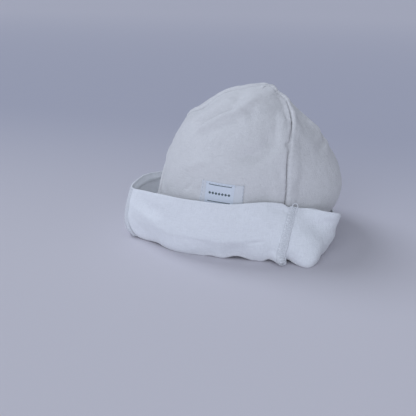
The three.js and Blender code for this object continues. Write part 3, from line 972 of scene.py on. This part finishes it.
class SAUNAHAT_OT_seam_allowances(bpy.types.Operator):
    """Make the overlocked seam allowances on the wrong side of the four seams"""

    bl_idname = "sauna_hat.seam_allowances"
    bl_label = "Seam allowances"

    # The cut of each gore, laid flat: width, length and area, in metres and square metres.
    CUTS = {
        "front": (0.186, 0.271, 0.0356),
        "right": (0.187, 0.223, 0.0266),
        "back": (0.166, 0.236, 0.0262),
        "left": (0.142, 0.270, 0.0236),
    }

    def execute(self, context):
        cloth, trim = context.scene.sauna_hat_cloth, context.scene.sauna_hat_trim
        # A darker copy of the linen: painted shade between and under the overlock threads.
        linen = linen_material("overlocked_linen", cloth, trim.painted_shade_share)
        thread = thread_material("overlock_thread", trim.thread_colour)
        half = ALLOWANCE["width"] / 2
        across = np.linspace(-half, half, ALLOWANCE["columns"])
        face = cloth.thickness / MM / 2 + ALLOWANCE["gap"]
        for seam, name in enumerate(SEAM_NAMES):
            angle, along = strip_grid(seam, across)
            points = middle(angle, along, cloth)
            normal = grid_normal(points)
            drawn = np.sin(along * (2 * math.pi / (trim.overlock_length / MM)))
            domed = 1 - ALLOWANCE["edge_thinner"] * (across / half) ** 4
            domed = domed + ALLOWANCE["drawn"] * drawn
            outer = points - normal * face
            inner = points - normal * (face + ALLOWANCE["thickness"] * domed)[..., None]
            raise_to(0, outer, inner)
            piece = closed_wall(f"seam_allowance_linen_{name}", outer, inner, linen,
                                cloth_map(angle, along))
            finish_piece(piece, "overlocked_edge", f"seam_allowance_{name}")

            centre = len(across) // 2
            path = inner[1:-1, centre]
            outward = -normal[1:-1, centre]
            raise_to(OVERLOCK["lowest"], path)
            stitches = stitched(
                f"overlock_stitches_{name}", [(path, outward)], OVERLOCK_THREADS,
                {"Stitch Length": trim.overlock_length,
                 "Half Width": (half + OVERLOCK["past_edge"]) * MM,
                 "Rise": OVERLOCK["rise"], "Thread Radius": trim.thread_radius}, thread)
            finish_piece(stitches, "overlocked_edge")
            if name == "front_right":
                self.add_thread_tail(seam, cloth, thread)

            gore = GORE_NAMES[seam]
            width, length, area = self.CUTS[gore]
        return {"FINISHED"}

    def add_thread_tail(self, seam, cloth, thread):
        """The end of the overlock thread, which loops over the cuff's rim."""
        at = np.array([[RIM_AT - 2.0, RIM_AT - 1.0]])
        angle = seam_angles(at)[..., seam]
        ways = np.stack([angle - 1, angle + 1], 0)[..., 0]
        left, right = middle(ways, np.broadcast_to(at[..., 0], ways.shape), cloth).reshape(2, 3)
        lower, upper = middle(angle, at, cloth).reshape(2, 3)
        across, up = unit(right - left), unit(upper - lower)
        outward = unit(np.cross(across, up))
        steps = np.arange(len(THREAD_TAIL), dtype=float)
        place = along_table(steps, np.array(THREAD_TAIL, float), np.linspace(0, steps[-1], 40))
        path = upper + place[:, :1] * across + place[:, 1:2] * up + place[:, 2:] * outward
        tail = add_tube("overlock_thread_tail", path, outward, OVERLOCK["tail_radius"], thread)
        return finish_piece(tail, "overlocked_edge")


class SAUNAHAT_OT_label(bpy.types.Operator):
    """Make the woven label on the front gore and the stitches that hold it"""

    bl_idname = "sauna_hat.label"
    bl_label = "Label"

    def execute(self, context):
        cloth, trim = context.scene.sauna_hat_cloth, context.scene.sauna_hat_trim
        satin = label_material(trim)
        thread = thread_material("label_thread", LABEL_THREAD_COLOUR)
        along = evenly(LABEL["top"], LABEL["bottom"], LABEL["row_step"])
        across = np.linspace(LABEL["left"], LABEL["right"], LABEL["columns"])
        angle, along = np.meshgrid(across, along)
        points, normal = shaped_cloth(angle, along + LABEL["slant"] * angle, cloth)
        face = cloth.thickness / MM / 2 + LABEL["gap"]
        inner = points + normal * face
        outer = points + normal * (face + LABEL["thickness"])
        piece = closed_wall("woven_label", outer, inner, satin, cloth_map(angle, along))
        finish_piece(piece, "woven_label", "label")

        inset = LABEL["stitches_inset"]
        top = outer[inset]
        columns = np.searchsorted(across, (LABEL["panel_left"], LABEL["panel_right"]))
        top_edge = slice(columns[0], columns[1] + 1)
        paths = [(top[top_edge], normal[inset, top_edge]),
                 (outer[:, -inset], normal[:, -inset]),
                 (outer[:, inset], normal[:, inset])]
        stitches = stitched("label_stitches", paths, RUNNING_THREADS, LABEL_STITCH, thread)
        finish_piece(stitches, "woven_label")
        return {"FINISHED"}


class SAUNAHAT_OT_stage(bpy.types.Operator):
    """Make the floor, the lights and the camera"""

    bl_idname = "sauna_hat.stage"
    bl_label = "Stage"

    FLOOR_RADIUS = 15.0
    # Each lamp's name and settings, then its height above the ground and its turn from the
    # front, in degrees.
    LAMPS = (
        ("left_lamp", "key_strength", "key_width", 47, -108),
        ("front_lamp", "fill_strength", "fill_width", 18, 3),
        ("right_lamp", "edge_strength", "fill_width", 40, 80),
    )

    def execute(self, context):
        scene = context.scene
        stage = scene.sauna_hat_stage
        self.add_floor(stage)
        self.add_surroundings(scene, stage)
        for name, strength, width, height, turn in self.LAMPS:
            self.add_lamp(stage, name, getattr(stage, strength), getattr(stage, width),
                          height, turn)
        self.add_camera(scene, stage)
        return {"FINISHED"}

    def add_floor(self, stage):
        turns = np.radians(np.arange(0, 360, 5))
        ring = np.stack([np.cos(turns), np.sin(turns), np.zeros_like(turns)], -1)

        def changing(net):
            place = net.node("ShaderNodeTexCoord", output=3)
            back = net.part(place, 1)

            def fading(start, end, level):
                return net.node("ShaderNodeMapRange", {"interpolation_type": "SMOOTHSTEP"}, {
                    "Value": back, "From Min": start, "From Max": end, "To Max": level})

            share = fading(-0.2, 0.5, 1.0) - fading(0.5, 4.0, 0.55)
            cloudy = net.noise(place, 3.0)
            return {
                "Base Color": net.mix(share, rgba(stage.floor_colour),
                                      rgba(stage.backdrop_colour)),
                "Roughness": 0.85 + cloudy * 0.1,
            }

        material = new_material("floor", {"Specular IOR Level": 0.1}, changing)
        points = ring * self.FLOOR_RADIUS / MM
        floor = add_mesh("floor", points, [list(range(len(ring)))], material)

    def add_surroundings(self, scene, stage):
        world = bpy.data.worlds.new("surroundings")
        world.use_nodes = True
        net = Net(world.node_tree)
        world.node_tree.nodes.clear()
        light = net.node("ShaderNodeBackground", None,
                         {"Color": rgba(stage.air_colour), "Strength": 1.0})
        net.node("ShaderNodeOutputWorld", None, {"Surface": light})
        scene.world = world

    def add_lamp(self, stage, name, strength, width, height, turn):
        lamp = bpy.data.lights.new(name, "SUN")
        lamp.energy = strength
        lamp.angle = width
        lamp.color = stage.light_colour
        placed = new_object(name, lamp)
        placed.rotation_euler = (math.radians(90 - height), 0, math.radians(turn))

    def add_camera(self, scene, stage):
        camera = bpy.data.cameras.new("camera")
        camera.sensor_width = 36.0
        camera.angle = stage.camera_angle
        view = new_object("camera", camera)
        view.rotation_euler = (math.pi / 2 - stage.camera_elevation, 0, stage.camera_azimuth)
        back = view.rotation_euler.to_matrix() @ Vector((0, 0, stage.camera_distance))
        view.location = Vector(stage.camera_target) + back
        scene.camera = view
        scene.view_settings.view_transform = "Standard"


class SAUNAHAT_PT_panel(bpy.types.Panel):
    """Lists the hat's pieces and its settings"""

    bl_idname = "SAUNAHAT_PT_panel"
    bl_label = "Sauna Hat"
    bl_space_type = "VIEW_3D"
    bl_region_type = "UI"
    bl_category = "Sauna Hat"

    def draw(self, context):
        scene = context.scene
        for operator in OPERATORS:
            self.layout.operator(operator.bl_idname)
        for settings in SETTINGS:
            group, box = getattr(scene, settings), self.layout.box()
            for name in group.__annotations__:
                box.prop(group, name)


OPERATORS = (SAUNAHAT_OT_gores, SAUNAHAT_OT_seam_allowances, SAUNAHAT_OT_label,
             SAUNAHAT_OT_stage)
SETTINGS = {
    "sauna_hat_cloth": SaunaHatCloth,
    "sauna_hat_trim": SaunaHatTrim,
    "sauna_hat_stage": SaunaHatStage,
}
CLASSES = (*SETTINGS.values(), *OPERATORS, SAUNAHAT_PT_panel)


def register():
    for made in CLASSES:
        bpy.utils.register_class(made)
    for name, group in SETTINGS.items():
        setattr(bpy.types.Scene, name, bpy.props.PointerProperty(type=group))


def unregister():
    for name in SETTINGS:
        delattr(bpy.types.Scene, name)
    for made in reversed(CLASSES):
        bpy.utils.unregister_class(made)


def main():
    register()
    bpy.ops.sauna_hat.stage()
    bpy.ops.sauna_hat.gores()
    bpy.ops.sauna_hat.seam_allowances()
    bpy.ops.sauna_hat.label()


if __name__ == "__main__":
    main()
